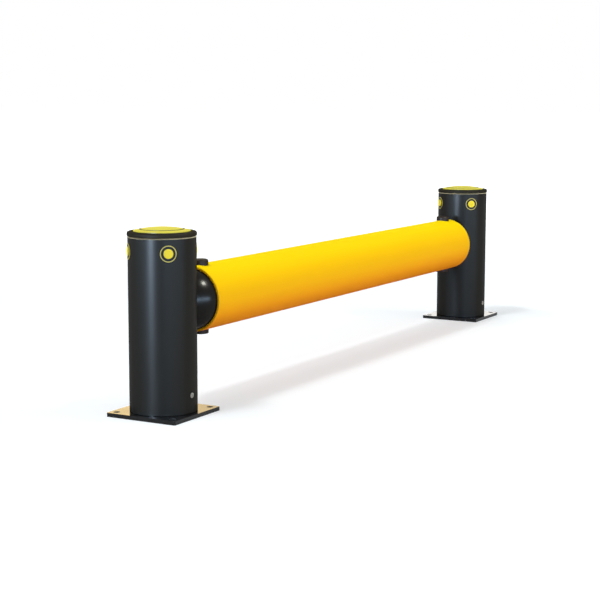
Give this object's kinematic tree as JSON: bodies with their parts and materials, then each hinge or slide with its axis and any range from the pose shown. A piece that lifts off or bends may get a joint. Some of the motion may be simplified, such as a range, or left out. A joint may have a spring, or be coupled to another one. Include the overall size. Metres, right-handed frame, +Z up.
{
  "type": "flexible road barrier",
  "caption": "Low traffic barrier: a thick yellow polymer tube rail pinned between round black polymer posts on square bolt-down steel base plates.",
  "frame": {"origin": "on the floor, midway between the two posts", "axes": "+X along the rail from the left post to the right one, +Y away from the side the picture shows, +Z up"},
  "size_m": [2.44, 0.24, 0.5512],
  "materials": {
    "rail_yellow": "satin extruded polymer, safety yellow",
    "post_black": "satin extruded polymer, black",
    "cap_black": "satin moulded polymer, black",
    "badge_yellow": "moulded polymer, lemon yellow",
    "marker_yellow": "moulded polymer, lemon yellow",
    "coupling_black": "glossy moulded polymer, black",
    "pin_black": "glossy moulded polymer, black",
    "plate_black": "smooth black coating over steel",
    "screw_steel": "dull stainless steel",
    "inner_steel": "plain zinc-plated steel, hidden"
  },
  "bodies": {
    "root": {"rail": "rail_yellow", "left_base_plate": "plate_black", "left_ground_spigot": "inner_steel", "left_side_screws": "screw_steel", "left_post": "post_black", "left_marker_rings": "marker_yellow", "left_marker_buttons": "marker_yellow", "left_post_cap": "cap_black", "left_cap_badge": "badge_yellow", "left_coupling": "coupling_black", "left_clamp_plate": "inner_steel", "left_clamp_bolts": "inner_steel", "left_rail_pin": "pin_black", "left_pin_retainer": "pin_black", "right_base_plate": "plate_black", "right_ground_spigot": "inner_steel", "right_side_screws": "screw_steel", "right_post": "post_black", "right_marker_rings": "marker_yellow", "right_marker_buttons": "marker_yellow", "right_post_cap": "cap_black", "right_cap_badge": "badge_yellow", "right_coupling": "coupling_black", "right_clamp_plate": "inner_steel", "right_clamp_bolts": "inner_steel", "right_rail_pin": "pin_black", "right_pin_retainer": "pin_black"}
  },
  "joints": []
}
